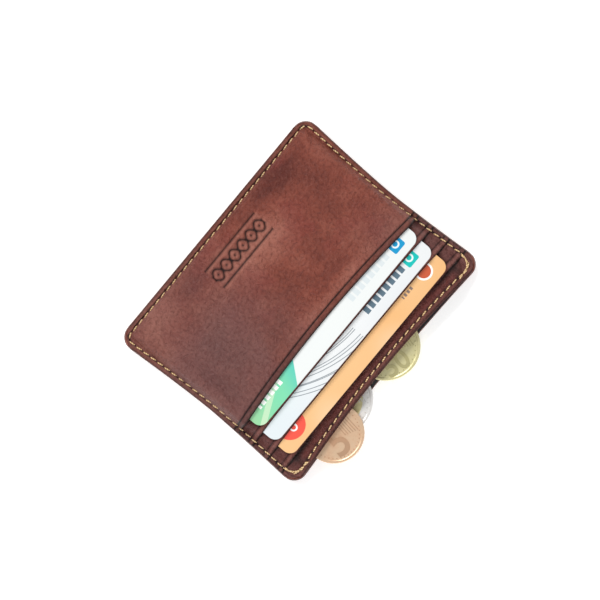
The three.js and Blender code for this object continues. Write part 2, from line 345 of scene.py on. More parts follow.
def leather(name, red, deep, pale, wine, grain=1.0):
    f = Finish(name, roughness=0.45)
    clouds = f.noise(CLOUDS, detail=3, rough=0.55, distortion=0.6)
    stains = f.noise(STAINS, detail=2, rough=0.5, distortion=0.4)
    mottles = f.noise(MOTTLES, detail=5, rough=0.65, distortion=0.5)
    pebbles = f.noise(PEBBLES, detail=3, rough=0.62, distortion=0.5)
    hide = f.cell_edges(CELLS)
    pores = f.noise(PORES, detail=2, rough=0.6)
    # The painted value tone adds paler and deeper patches, partly painted sheen and painted shade.
    tone = f.maths("MULTIPLY_ADD", f.minus(clouds, 0.5), 0.72, f.painted("tone"))
    tone = f.maths("MULTIPLY_ADD", f.minus(mottles, 0.5), 0.50, tone)
    colour = f.mix(f.range(tone, 0.12, 0.52, smooth=False), deep, red)
    colour = f.mix(f.range(tone, 0.50, 1.0, smooth=False), colour, pale)
    colour = f.mix(f.range(stains, 0.48, 0.66, 0, 0.40), colour, wine)
    # A greyish film: wax, and on the front also a painted sheen.
    bloom = f.times(f.painted("bloom"), f.range(clouds, 0.30, 0.55, 0.55, 1))
    colour = f.mix(bloom, colour, WAX_FILM_AND_SHEEN)
    # Painted shade in the valleys of the pebbly grain and a painted highlight on its tops.
    colour = f.mix(f.range(pebbles, 0.34, 0.54, 0.34 * grain, 0), colour, deep)
    colour = f.mix(f.range(pebbles, 0.56, 0.72, 0, 0.13), colour, pale)
    # Paler where painted: wear on the edges together with painted highlights.
    colour = f.mix(f.times(f.painted("worn"), 0.6), colour, pale)
    # Painted shade, where the painted value dark says.
    colour = f.mix(f.times(f.painted("dark"), 0.96), colour, PAINTED_SHADE)
    f.set("Base Color", colour)
    f.set("Roughness", f.range(mottles, 0.3, 0.75, 0.38, 0.52))
    f.set("Specular IOR Level", 0.20)
    soft = f.relief(mottles, 0.5 * MM, 0.4)
    pebbly = f.relief(pebbles, 0.95 * MM * grain, 1.0, soft)
    grainy = f.relief(f.range(hide, 0.0, 0.16), 0.06 * MM * grain, 0.6, pebbly)
    f.set("Normal", f.relief(pores, 0.06 * MM * grain, 0.5, grainy))
    return f.material


FRONT_LEATHER = leather("waxed_leather", red=(0.212, 0.053, 0.034), deep=(0.074, 0.014, 0.011),
                        pale=(0.38, 0.148, 0.108), wine=(0.190, 0.034, 0.028))
STRIP_LEATHER = leather("dark_waxed_leather", red=(0.138, 0.036, 0.030), deep=(0.045, 0.008, 0.007),
                        pale=(0.29, 0.118, 0.094), wine=(0.110, 0.022, 0.020), grain=1.1)

# %% [markdown]
# The cut edges are painted and polished, so they are smoother, darker and redder than the faces.
# The lining is a plain black weave, and the thread is two plies twisted together, which the painted value
# twist counts along each stitch; the thread's colour runs with it from painted shade between the plies to a
# painted highlight on them.

# %% Edge paint, lining and thread
YARN = 0.55 * MM


def edge_paint():
    f = Finish("edge_paint", roughness=0.38)
    patches = f.noise(220, detail=4, rough=0.6)
    f.set("Base Color", f.mix(f.range(patches, 0.35, 0.7), (0.085, 0.022, 0.016), (0.17, 0.05, 0.035)))
    f.set("Normal", f.relief(f.noise(900, detail=3), 0.05 * MM, 0.5))
    return f.material


def black_weave():
    f = Finish("black_weave", roughness=0.8)
    x, y, _ = f.xyz()
    over = f.maths("SINE", f.times(x, 2 * math.pi / YARN))
    under = f.maths("SINE", f.times(y, 2 * math.pi / YARN))
    weave = f.times(over, under)
    f.set("Base Color", f.mix(f.range(weave, -1, 1), (0.006, 0.006, 0.008), (0.022, 0.021, 0.025)))
    f.set("Sheen Weight", 0.15)
    f.set("Normal", f.relief(weave, 0.06 * MM, 0.8))
    return f.material


def waxed_thread():
    f = Finish("waxed_thread", roughness=0.5)
    turn = f.maths("SINE", f.times(f.painted("twist"), 2 * math.pi))
    tone = f.noise(60, detail=2)
    # Painted shade between the plies and a painted highlight on them, following the twist.
    colour = f.mix(f.range(turn, -1, 0.4), (0.34, 0.17, 0.06), (0.90, 0.66, 0.36))
    f.set("Base Color", f.mix(f.range(tone, 0.35, 0.65, 0, 0.35), colour, (0.62, 0.40, 0.17)))
    f.set("Normal", f.relief(turn, 0.08 * MM, 0.7))
    return f.material


EDGE_PAINT = edge_paint()
WEAVE = black_weave()
THREAD = waxed_thread()

# %% [markdown]
# A panel of leather is cut flat and takes its shape from what is under it. Each one starts as a
# grid, with its rows and columns close together where it has creases. The points are then laid
# where the rules say, like the hand that presses leather over a stack of cards, and Solidify
# gives it its thickness, with the painted edge as a second material.

# %% A helper that lays a sheet


def lay_sheet(name, us, vs, place, low, thick, materials, **paint):
    clear_selection()
    bpy.ops.mesh.primitive_grid_add(x_subdivisions=len(us) - 1, y_subdivisions=len(vs) - 1, size=2)
    piece = bpy.context.object
    piece.name = name
    mesh = piece.data
    flat = np.empty(len(mesh.vertices) * 3)
    mesh.vertices.foreach_get("co", flat)
    flat = flat.reshape(-1, 3)
    column = np.rint((flat[:, 0] + 1) / 2 * (len(us) - 1)).astype(int)
    row = np.rint((flat[:, 1] + 1) / 2 * (len(vs) - 1)).astype(int)
    x, y = place(us[column], vs[row])
    mesh.vertices.foreach_set("co", np.stack([x, y, low(x, y)], 1).ravel())
    for finish, rule in paint.items():
        values = np.clip(rule(x, y), 0, 1)
        mesh.attributes.new(finish, "FLOAT", "POINT").data.foreach_set("value", values)
    for material in materials:
        mesh.materials.append(material)
    solid = piece.modifiers.new("thickness", "SOLIDIFY")
    solid.thickness = thick
    solid.offset = 1
    if len(materials) > 1:
        solid.material_offset_rim = 1
    return piece


def finish_sheet(piece, body="wallet"):
    clear_selection()
    piece.select_set(True)
    bpy.context.view_layer.objects.active = piece
    for modifier in list(piece.modifiers):
        bpy.ops.object.modifier_apply(modifier=modifier.name)
    bpy.ops.object.shade_smooth_by_angle(angle=math.radians(50))
    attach(piece, body)
    print(piece.name, len(piece.data.polygons), "faces")
    return piece


SKIN_AIR = 0.06 * MM
NUDGE = 0.05 * MM


def above(low, thick):
    """Underside of the layer that lies on another one, thicker where that one is steep."""
    def rule(x, y):
        across = (low(x + NUDGE, y) - low(x - NUDGE, y)) / (2 * NUDGE)
        along = (low(x, y + NUDGE) - low(x, y - NUDGE)) / (2 * NUDGE)
        return low(x, y) + thick * np.sqrt(1 + across**2 + along**2) + SKIN_AIR
    return rule


# %% [markdown]
# One row of stitches runs round the left side, the bottom and the right side, and another along
# the hem. The rows are needed before the leather, because every stitch pulls the leather into a
# groove and ends in two needle holes. A row is a list of places and directions 3 mm apart.

# %% Where the stitches go
PITCH = 3.0 * MM
THREAD_CORNER_Y = -35.3 * MM       # below this the row turns the bottom corner
BORDER_TOP = 32.3 * MM             # above this the locked corners take over
HEM_HALF = 40.6 * MM


def walk(points, pitch):
    """Places and directions along a line at an even pitch, with the holes between them."""
    points = np.array(points)
    parts = np.hypot(*np.diff(points, axis=0).T)
    run = np.concatenate([[0], np.cumsum(parts)])
    count = round(run[-1] / pitch)

    def at(s):
        return np.stack([np.interp(s, run, points[:, k]) for k in (0, 1)], 1)

    middles = (np.arange(count) + 0.5) * run[-1] / count
    ends = np.arange(count + 1) * run[-1] / count
    ahead = at(middles + 0.2 * MM) - at(middles - 0.2 * MM)
    return {"at": at(middles), "angle": np.arctan2(ahead[:, 1], ahead[:, 0]), "holes": at(ends),
            "line": at(np.linspace(0, run[-1], count * 6))}


def border_line():
    """From the left locked corner down, along the bottom and up to the right one."""
    radius = THREAD_CORNER_Y - THREAD_Y
    side_y = np.linspace(THREAD_CORNER_Y, BORDER_TOP, 60)
    side_x = half_width(side_y) - SIDE_INSET
    turn = np.radians(np.arange(90, 0, -10))
    bend_x = side_x[0] - radius * (1 - np.cos(turn))
    right = list(zip(bend_x, THREAD_CORNER_Y - radius * np.sin(turn))) + list(zip(side_x, side_y))
    left = [(-x, y) for x, y in right][::-1]
    return left + right


def hem_y(x):
    return HALF_LENGTH - HEM_INSET - hang(x, HEM_SAG)


hem_x = np.linspace(-HEM_HALF, HEM_HALF, 80)
border = walk(border_line(), PITCH)
hem = walk(list(zip(hem_x, hem_y(hem_x))), PITCH)
print("stitches:", len(border["at"]), "in the border and", len(hem["at"]), "in the hem")


def near(x, y, places):
    """Distance of every point to the nearest of some places."""
    best = np.full(len(x), 1.0)
    for px, py in places:
        best = np.minimum(best, np.hypot(x - px, y - py))
    return best


# %% [markdown]
# The marks on every leather layer are the same few: a groove under the thread with a hole at
# each needle point, a border that rounds off at the cut edge, and the slow unevenness of hide.

# %% Marks that thread and hand leave on leather


# The slow waves of a hide: radians per metre along X and Y, and height in mm.
WAVES = ((61, 23, 0.10), (-38, 92, 0.08), (150, -70, 0.035), (85, 210, 0.03), (330, 120, 0.012))


def unevenness(x, y, seed, size=1.0):
    total = 0
    for i, (kx, ky, height) in enumerate(WAVES):
        phase = 1.7 * seed + 2.3 * i
        total = total + height * np.sin(kx * x + ky * y + phase + 1.5 * np.sin(40 * y + phase))
    return total * MM * size


def groove(x, y, rows):
    """How deep the thread has pulled the leather in, and the shade painted in that groove and its needle
    holes.
    """
    depth, dark = 0, 0
    for row in rows:
        line, holes = near(x, y, row["line"]), near(x, y, row["holes"])
        depth = depth + 0.20 * MM * bump(line, 0.50 * MM) + 0.28 * MM * bump(holes, 0.42 * MM)
        dark = dark + 0.5 * bump(line, 0.34 * MM) + 0.25 * bump(line, 1.0 * MM)
        dark = dark + 0.95 * bump(holes, 0.52 * MM)
    return depth, dark


def cut_edge(distance):
    """How far the face drops where the cut edge was rounded and painted."""
    return 0.30 * MM * np.clip(1 - distance / (0.6 * MM), 0, 1) ** 2


def rim_line(distance):
    """A hot iron has pressed a line along the edge, which has no groove here: that line and the face right
    at the edge are painted dark, as their shade.
    """
    return 0.8 * mark(distance, 1.05, 0.24) + 0.7 * bump(distance, 0.28 * MM)


# %% [markdown]
# The layers of the border are pressed together, and inside it they follow the stack. These are
# the heights of the undersides on the seam, then over the cards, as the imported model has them.

# %% Levels
AIR = 0.1 * MM
STRIP_T, FRONT_T, BASE_T, BACK_T, CLOTH_T = (t * MM for t in (0.5, 0.85, 0.62, 0.85, 0.2))
SEAM_LINING, SEAM_BASE, SEAM_ARM, SEAM_OVER = (SEAM_BACK + rise * MM for rise in (1.1, 1.35, 2.0, 2.45))
LINING_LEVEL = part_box("pocket_lining")[0][2]
BASE_LEVEL = LINING_LEVEL + 0.25 * MM
front_level = card_level["card_front"] + CARD_T + 1.4 * AIR
strip_level = {s: card_level[c] - AIR - 0.6 * MM for s, c in zip(STRIPS, CARDS)}

# %% [markdown]
# The front panel is the face of the wallet. It puffs up beside the seam, falls off the card's
# end along its right side, puckers in both bottom corners, and at its mouth it has a pressed
# crease and a lip that the cards hold a little open.

# %% Front panel
WIDE = 49.3                        # mm from the middle to the outermost column
CORNER_Y = -34.5                   # mm, where the round corners start
columns = steps((-WIDE, 0), (-42, 0.35), (-35, 0.5), (-14, 0.75), (14, 0.28), (35, 0.75), (42, 0.5),
                (WIDE, 0.35)) / WIDE / MM
corner_rows = CORNER_Y - 5.5 * np.sin(np.radians(np.arange(90, 9, -9)))
front_rows = np.concatenate([corner_rows * MM, steps((CORNER_Y, 0), (-33, 0.4), (-22, 0.28), (5, 0.7),
                                                     (9.5, 0.35), (12.4, 0.16))])
CREASE = 1.3 * MM                  # from the mouth's edge to the pressed crease


def mouth(x):
    return MOUTH_Y - hang(x, MOUTH_SAG)


def place_front(u, v):
    x = u * (half_width(v) - TOP_INSET)
    share = np.clip((v + 6 * MM) / (MOUTH_Y + 6 * MM), 0, 1) ** 2
    return x, v - hang(x, MOUTH_SAG) * share + TOP_INSET * np.clip(-v / HALF_LENGTH, 0, 1)


def front_edge(x, y):
    """Distance to the cut edge along the sides and the bottom."""
    return np.minimum(from_side(x, y), y + HALF_LENGTH - TOP_INSET)


def front_marks(x, y):
    """Puckered corners, the furrow past the card's end, the open lip and the crease."""
    from_mouth = mouth(x) - y
    corner_x, corner_y = 47 * MM - np.abs(x), y + 38 * MM
    corner = np.hypot(corner_x, corner_y)
    pucker = np.sin(np.arctan2(corner_y, corner_x) * 13) * mark(corner, 5.5, 3)
    along = ease((y + 27 * MM) / (18 * MM)) * (1 - ease((y - 2 * MM) / (9 * MM)))
    fall = 0.34 * mark(x, 43.0, 1.2) + 0.2 * mark(x, 36.5, 2.2)
    fall = fall - 0.62 * mark(x, 40.0, 1.3)
    open_lip = (0.15 + 0.45 * mark(x, 34, 11)) * bump(from_mouth, 5 * MM) * swell(x, y)
    crease = 0.16 * mark(from_mouth, 0.55, 0.4) - 0.34 * bump(from_mouth - CREASE, 0.32 * MM)
    return (0.16 * pucker + fall * along + open_lip + crease) * MM


BAND_Y = -27.3 * MM
BAND_HALF = 13.4 * MM
BAND_TALL = 2.2 * MM               # how far a wave swings
RULE_Y = 4.2 * MM                  # from the middle of the band to each rule
WAVE = 2 * math.pi / (8.8 * MM)
DOTS = np.arange(-11, 12, 4.4) * MM


def band(x, y, widen=1.0):
    """Depth, from 0 to 1, of the tooled ornament: two crossing waves between two rules."""
    up = y - BAND_Y
    across = np.sqrt(1 + (BAND_TALL * WAVE * np.cos(WAVE * x)) ** 2)
    lines = 0
    for side in (1, -1):
        lines = lines + bump((up - side * BAND_TALL * np.sin(WAVE * x)) / across, 0.50 * MM * widen)
        lines = lines + bump(up - side * RULE_Y, 0.46 * MM * widen)
    for spot in DOTS:
        lines = lines + bump(np.hypot(x - spot, up), 0.52 * MM * widen)
    return np.clip(lines, 0, 1) * ease((BAND_HALF - np.abs(x)) / (0.4 * MM) + 0.5)


def front_low(x, y):
    seam = SEAM_ARM + (SEAM_OVER - SEAM_ARM) * ease((y - 7.3 * MM) / (0.8 * MM))
    full = swell(x, y, 2.1)
    z = seam + (plane(front_level, y) - seam) * full
    z += unevenness(x, y, 1) * (0.25 + 0.75 * full) + front_marks(x, y)
    z -= 0.34 * MM * band(x, y) - 0.10 * MM * band(x, y, 2.2)
    return z - groove(x, y, [border])[0] - cut_edge(front_edge(x, y)) - cut_edge((mouth(x) - y) * 1.6)


# Painted shade along the mouth's edge and in its crease, in the thread's groove and needle holes, along the
# side and bottom edges, and in the sunk lines of the tooled ornament.
def front_dark(x, y):
    from_mouth = mouth(x) - y
    rim = 1.3 * bump(from_mouth, 0.26 * MM) + rim_line(front_edge(x, y))
    press = np.minimum(2.4 * mark(from_mouth, 1.45, 0.42), 1)
    press = press + 0.2 * mark(from_mouth, 0.6, 0.5)
    return groove(x, y, [border])[1] + press + rim + np.minimum(1.9 * band(x, y), 1)


def front_worn(x, y):
    # Paler along the edge: wear, together with a painted highlight on the rounded edge.
    edge = 0.55 * mark(front_edge(x, y), 0.6, 0.3)
    # Painted highlight round the tooled ornament, and more of it beside its lines on one side.
    pressed = 0.3 * (band(x, y, 2.4) - band(x, y, 1.3))
    highlight_beside_band = np.maximum(band(x + 0.4 * MM, y - 0.8 * MM, 1.4) - band(x, y, 1.3), 0)
    return edge + pressed + 0.8 * highlight_beside_band


# Patches of paler and deeper colour, partly the leather's own and partly painted sheen, with the painted
# shade and highlight of the furrow past the card's end: middle, half width and half height in mm, and how
# much paler.
TONE_AND_SHEEN_PATCHES = ((-4, -22, 16, 7, 0.32), (-8, 7.5, 30, 3, 0.24), (36, -34, 9, 5, 0.22),
            (-44, -26, 4, 14, 0.10), (-27, -33, 11, 5, -0.34), (32, -9, 8, 8, -0.30),
            (19, -31, 8, 4, -0.24), (2, -3, 10, 4, -0.08), (40.2, -3, 3.0, 13, -0.36),
            (44.3, -3, 1.2, 12, 0.34), (42, -22, 5, 6, 0.16), (-30, -7, 14, 9, 0.06))


def front_tone_and_sheen(x, y):
    """Paler and deeper patches: partly the leather's own colour, partly painted sheen and painted shade."""
    tone = 0.50
    for cx, cy, wide, tall, amount in TONE_AND_SHEEN_PATCHES:
        tone = tone + amount * mark(x, cx, wide) * mark(y, cy, tall)
    return tone


def front_bloom(x, y):
    """A greyish film over the right side and a patch at the left: partly wax, partly a painted sheen."""
    right = ease((x + 8 * MM) / (34 * MM)) * (0.75 - 0.35 * ease((-y - 14 * MM) / (14 * MM)))
    return right + 0.35 * bump(np.hypot(x + 38 * MM, y - 9 * MM), 10 * MM)


front = lay_sheet("front_leather", columns, front_rows, place_front, front_low, FRONT_T,
                  [FRONT_LEATHER, EDGE_PAINT], dark=front_dark, worn=front_worn, tone=front_tone_and_sheen,
                  bloom=front_bloom)
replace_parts(finish_sheet(front), "front_panel")

# %% [markdown]
# A slot strip is cut as a T: its arms reach into the side seams and its stem hangs between them,
# so that the border doesn't get too thick. The parts of the grid beside the stem are deleted,
# and its foot comes down to the base panel, where a row of thread closes the slot.

# %% Slot strips
ARM = 10 * MM
STEM_X = 44.6 * MM
PRESSED_LINE = 1.75 * MM           # from a strip's edge


def half_tone(x, y):
    return np.full(len(x), 0.5)


def end_bloom(x, y):
    """The ends of the strips are rubbed dull beside the seams."""
    return 0.45 * ease((np.abs(x) - 38 * MM) / (8 * MM))


def slot_shade(x, y, next_edge):
    """Painted shade where the next layer starts, beside the end of its card and under that layer."""
    gap = 1.3 * mark(y - next_edge, 0.25, 0.34)
    beside = 0.55 * mark(np.abs(x), 42.4, 1.3) * ease((next_edge + 6.5 * MM - y) / (3 * MM))
    under = ease((next_edge - y) / (1 * MM)) * 0.6
    return gap + beside + under


def strip_sag(x):
    """The edge between the side seams hangs, nearly straight, just above the card."""
    return 0.8 * MM * (1 - np.minimum(np.abs(x) / SEAM_X, 1) ** 6)


def lay_strip(strip, next_edge, below_arm, seed):
    low_y, top_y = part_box(strip)[0][1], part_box(strip)[1][1]
    foot_y = low_y + 2.4 * MM
    arm_y = top_y - ARM
    next_top = next_edge / MM
    rows = steps((low_y / MM, 0), (foot_y / MM + 2.2, 0.45), (arm_y / MM, 1.2), (next_top - 0.5, 0.6),
                 (next_top + 1.1, 0.2), (top_y / MM - 3, 0.5), (top_y / MM, 0.16))

    def place(u, v):
        x = u * (half_width(v) - TOP_INSET)
        return x, v - strip_sag(x) * np.clip((v - arm_y) / ARM, 0, 1)

    def from_edge(x, y):
        return top_y - y - strip_sag(x)

    def low(x, y):
        seam = SEAM_ARM + (SEAM_OVER - SEAM_ARM) * ease((y - below_arm + 1.5 * MM) / (0.7 * MM))
        drop = ease((y - foot_y) / (1.8 * MM))
        level = BASE_LEVEL + BASE_T + 0.2 * MM
        level = level + (strip_level[strip] - level) * drop
        z = seam + (plane(level, y) - seam) * swell(x, y)
        from_top = from_edge(x, y)
        z += unevenness(x, y, seed, 0.35) * swell(x, y)
        z -= 0.17 * MM * bump(from_top - PRESSED_LINE, 0.24 * MM)
        pinch = mark(np.abs(x), 44.5, 2.2)
        z += 0.13 * MM * np.sin(2900 * y + 90 * x + seed) * pinch * mark(from_top, 3.4, 2.0)
        z += 0.12 * MM * mark(from_top, 0.6, 0.6)
        edge = np.minimum(from_side(x, y), from_top * 1.8)
        return z - groove(x, y, [border])[0] - cut_edge(edge)

    # Painted shade in the pressed line and along the top edge, where the next layer starts, beside and
    # under it, in the thread's groove and along the side edges.
    def dark(x, y):
        from_top = from_edge(x, y)
        lines = 1.1 * bump(from_top - PRESSED_LINE, 0.30 * MM) + 1.3 * bump(from_top, 0.18 * MM)
        rim = rim_line(from_side(x, y))
        return groove(x, y, [border])[1] + lines + slot_shade(x, y, next_edge) + rim

    # Paler just under the top edge: wear, together with a painted highlight on the rounded edge.
    def worn(x, y):
        return 0.75 * mark(from_edge(x, y), 0.7, 0.42)

    def beside_stem(face):
        return face.center.y < arm_y - 0.1 * MM and abs(face.center.x) > STEM_X

    piece = lay_sheet(strip.replace("slot_strip", "strip_leather"), columns, rows, place, low, STRIP_T,
                      [STRIP_LEATHER, EDGE_PAINT], dark=dark, worn=worn, tone=half_tone, bloom=end_bloom)
    pick(piece, "FACE", beside_stem)
    bpy.ops.mesh.delete(type="FACE")
    bpy.ops.object.mode_set(mode="OBJECT")
    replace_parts(finish_sheet(piece), strip)
    return piece


tops = [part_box(s)[1][1] for s in STRIPS]
below_arms = [top - ARM for top in tops[1:]] + [1.0]
strips = [lay_strip(s, edge, arm, i + 2)
          for i, (s, edge, arm) in enumerate(zip(STRIPS, [MOUTH_Y] + tops[:-1], below_arms))]

# %% [markdown]
# The base panel carries the slots. Only its top band shows, with the hem that the coins have
# pushed out: its edge hangs in the middle of the wallet. Behind it comes the lining of the coin
# pocket, then the second lining and the back, which lies on the table.

# %% Base panel, linings and back
middle_rows = steps((CORNER_Y, 0), (-30, 0.6), (28, 1.6), (32, 0.6), (34.3, 0.22))
body_rows = np.concatenate([corner_rows * MM, middle_rows, -corner_rows[::-1] * MM])
rim_columns = steps((-WIDE, 0), (-43, 0.4), (-36, 0.6), (36, 1.1), (43, 0.6), (WIDE, 0.4)) / WIDE / MM


def place_body(sag, inset=0.0, short=None):
    short = inset if short is None else short

    def place(u, v):
        x = u * (half_width(v) - inset)
        return x, v * (1 - short / HALF_LENGTH) - hang(x, sag) * np.maximum(0, v / HALF_LENGTH) ** 2
    return place


def from_hem(x, y):
    """Distance below the edge that hangs."""
    return HALF_LENGTH - hang(x, HEM_SAG) - y


def base_low(x, y):
    z = SEAM_BASE + (plane(BASE_LEVEL, y) - SEAM_BASE) * swell(x, y)
    from_top = from_hem(x, y)
    z += unevenness(x, y, 6, 0.5) * swell(x, y)
    z += 0.05 * MM * np.sin(1500 * y + 50 * x) * mark(from_top, 5, 2)
    z += 0.10 * MM * mark(from_top, 1.1, 0.55) - 0.12 * MM * mark(from_top, 4.0, 0.5)
    edge = np.minimum(from_side(x, y), from_top - TOP_INSET)
    return z - groove(x, y, [border, hem])[0] - cut_edge(edge)


# Paler under the hem's edge and along the sides: wear, together with a painted highlight on the rounded
# edges.
def base_worn(x, y):
    hem_edge = 0.6 * mark(from_hem(x, y), 1.5, 0.4)
    return hem_edge + 0.5 * mark(from_side(x, y), 0.8, 0.5)


def back_smooth(x, y):
    belly = 0.30 * MM * (1 - ease((44 * MM - np.abs(x)) / (16 * MM)))
    return SEAM_BACK + (belly - SEAM_BACK) * swell(x, y)


def back_low(x, y):
    edge = np.minimum(half_width(y) - np.abs(x), HALF_LENGTH - np.abs(y) - hang(x, BACK_SAG))
    lift = groove(x, y, [border])[0] * (1 - 0.5 * swell(x, y)) + 0.6 * cut_edge(edge)
    return np.maximum(back_smooth(x, y) + lift, 0.02 * MM)


# Painted shade in the thread's groove and its needle holes.
def back_dark(x, y):
    return groove(x, y, [border])[1]


# A painted highlight on the narrow rim of the back that shows round the layers on it.
def back_worn(x, y):
    return 1.2 * mark(from_side(x, y, 0), 0.35, 0.5)


def pocket_low(x, y):
    return SEAM_LINING + (plane(LINING_LEVEL, y) - SEAM_LINING) * swell(x, y)


# Painted shade in the thread's grooves and needle holes, where the last strip starts and along the edges.
def base_dark(x, y):
    edge = np.minimum(from_side(x, y), from_hem(x, y))
    return groove(x, y, [border, hem])[1] + slot_shade(x, y, tops[-1]) + rim_line(edge)


base = lay_sheet("base_leather", rim_columns, body_rows, place_body(HEM_SAG, TOP_INSET), base_low, BASE_T,
                 [STRIP_LEATHER, EDGE_PAINT], dark=base_dark, worn=base_worn, tone=half_tone,
                 bloom=end_bloom)
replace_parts(finish_sheet(base), "base_panel")
back = lay_sheet("back_leather", rim_columns, body_rows, place_body(BACK_SAG), back_low, BACK_T,
                 [FRONT_LEATHER, EDGE_PAINT], dark=back_dark, tone=half_tone, worn=back_worn)
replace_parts(finish_sheet(back), "back_panel")

# Size of each lining before it was stretched over its leather.
BACK_CLOTH = (100.4 * MM, 81.2 * MM)
POCKET_CLOTH = (98.9 * MM, 78.5 * MM)
for node, leather_under, sag, short, flat, low in (
        ("back_lining", "back_leather", BACK_SAG, 0.3 * MM, BACK_CLOTH, above(back_smooth, BACK_T)),
        ("pocket_lining", "base_leather", HEM_SAG, 1.2 * MM, POCKET_CLOTH, pocket_low)):
    place = place_body(sag, 2 * TOP_INSET, short)
    cloth = lay_sheet(node + "_cloth", rim_columns, body_rows, place, low, CLOTH_T, [WEAVE])
    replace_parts(finish_sheet(cloth), node)

# %% [markdown]
# One stitch is a short cylinder, cut across in edit mode so that it can bend, with its ends
# pushed down into the needle holes. It is modelled once and copied along the rows, and each copy
# is laid on whatever leather is under it by a ray from above.

# %% One stitch
STITCH_HALF = 1.12 * MM
THREAD_R = 0.24 * MM
PLY_TURN = 0.85 * MM               # length of one turn of the two plies


def model_stitch():
    clear_selection()
    bpy.ops.mesh.primitive_cylinder_add(vertices=8, radius=THREAD_R, depth=2 * STITCH_HALF,
                                        rotation=(0, math.pi / 2, 0))
    bpy.ops.object.transform_apply(location=False, rotation=True, scale=True)
    bpy.ops.object.mode_set(mode="EDIT")
    for cut in (-0.8, -0.45, -0.15, 0.15, 0.45, 0.8):
        bpy.ops.mesh.select_all(action="SELECT")
        bpy.ops.mesh.bisect(plane_co=(cut * STITCH_HALF, 0, 0), plane_no=(1, 0, 0))
    bpy.ops.object.mode_set(mode="OBJECT")
    stitch = bpy.context.object
    twist = stitch.data.attributes.new("twist", "FLOAT", "POINT")
    for vertex in stitch.data.vertices:
        x, y, z = vertex.co
        t = x / STITCH_HALF
        twist.data[vertex.index].value = x / PLY_TURN + math.atan2(y, z) / (2 * math.pi)
        slim = 1 - 0.45 * t**4
        vertex.co = (x, y * slim, z * slim + 0.20 * MM * (1 - t * t) - 0.30 * MM * t**6)
    stitch.data.materials.append(THREAD)
    bpy.ops.object.shade_smooth()
    return stitch


def height_at(x, y, pieces, down=True):
    """Height of the outermost piece at a place, from above or from below."""
    start = Vector((x, y, 0.05 if down else -0.05))
    way = Vector((0, 0, -1 if down else 1))
    hits = [p.ray_cast(start, way) for p in pieces]
    found = [place.z for hit, place, *_ in hits if hit]
    return (max(found) if down else min(found)) if found else None


def sew(name, stitch, places, pieces, down=True, lift=0.10 * MM):
    """Copies the stitch to (x, y, angle) places on the pieces and joins them as one thread."""
    copies = []
    side = 1 if down else -1
    flip = Matrix.Identity(4) if down else Matrix.Rotation(math.pi, 4, "X")
    for x, y, angle in places:
        reach = [s * STITCH_HALF for s in (-0.7, 0.7)]
        heights = [height_at(x + r * math.cos(angle), y + r * math.sin(angle), pieces, down) for r in reach]
        middle = height_at(x, y, pieces, down)
        if middle is None or None in heights:
            continue
        rise = math.atan2(heights[1] - heights[0], reach[1] - reach[0])
        turn = Matrix.Rotation(angle, 4, "Z") @ Matrix.Rotation(-rise, 4, "Y")
        copy = stitch.copy()
        copy.data = stitch.data.copy()
        copy.data.transform(Matrix.Translation((x, y, middle + side * lift)) @ turn @ flip)
        bpy.context.scene.collection.objects.link(copy)
        copies.append(copy)
    clear_selection()
    for copy in copies:
        copy.select_set(True)
    bpy.context.view_layer.objects.active = copies[0]
    bpy.ops.object.join()
    thread = bpy.context.object
    thread.name = name
    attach(thread, "wallet")
    print(name, len(copies), "stitches")
    return thread


bpy.context.view_layer.update()
stitch = model_stitch()
SLANT = math.radians(7)
border_places = [(x, y, a + SLANT) for (x, y), a in zip(border["at"], border["angle"])]
hem_places = [(x, y, a + SLANT) for (x, y), a in zip(hem["at"], hem["angle"])]
face_up = [front, base, *strips]
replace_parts(sew("border_stitches", stitch, border_places, face_up), "seam_thread_front")
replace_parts(sew("border_stitches_back", stitch, border_places, [back], down=False), "seam_thread_back")
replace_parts(sew("hem_stitches", stitch, hem_places, [base]), "hem_thread_front")
pocket_cloth = bpy.data.objects["pocket_lining_cloth"]
hem_back = sew("hem_stitches_back", stitch, hem_places, [pocket_cloth], down=False, lift=0.05 * MM)
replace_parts(hem_back, "hem_thread_back")
FOOT_ROW = 1.2 * MM                # from a strip's foot edge to its row of thread
foot_xs = np.arange(-40.5, 41, 3) * MM
for strip, piece in zip(STRIPS, strips):
    foot_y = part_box(strip)[0][1] + FOOT_ROW
    foot_places = [(x, foot_y, SLANT) for x in foot_xs]
    row = sew(strip.replace("slot_strip", "foot_stitches"), stitch, foot_places, [piece], lift=0.02 * MM)
    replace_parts(row, strip.replace("slot_strip", "foot_thread"))

# %% [markdown]
# The seam is locked in both top corners, where the coins pull hardest: the needle goes back over
# its own last stitches, so that they lie doubled, cross a little and turn the corner together.

# %% Locked corners
# Places in mm and angles in degrees, two stitches beside each other at each of five places.
LOCKED = ((41.9, 37.55, -6), (42.3, 37.25, 9), (44.2, 37.6, 4), (44.5, 37.25, -8), (46.1, 36.7, -40),
          (46.5, 36.95, -24), (47.5, 35.2, -72), (47.2, 35.5, -58), (48.0, 33.4, -84), (47.75, 33.8, -96))


def locked_corner(side):
    """Places and angles of the doubled stitches in the right corner, or mirrored in the left."""
    turned = [math.radians(angle if side > 0 else 180 - angle) for *_, angle in LOCKED]
    return [(side * x * MM, y * MM, angle) for (x, y, _), angle in zip(LOCKED, turned)]


for node, side in (("bar_tack_left", -1), ("bar_tack_right", 1)):
    row = sew(node + "_stitches", stitch, locked_corner(side), [base, *strips], lift=0.13 * MM)
    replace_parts(row, node)
bpy.data.objects.remove(stitch)

# %% [markdown]
# A payment card is a flat laminate with round corners and a hair of a bevel. It starts as a cube
# of the card's size; its upright edges are bevelled to the corner radius, then all its edges a
# little. What is printed on it is only colour, so it is worked out in the material from the
# place on the card: panels, plain discs, bars and thin curves.

# %% Card blanks
CARD_W, CARD_L, CARD_R = 85.6 * MM, 53.98 * MM, 3.18 * MM


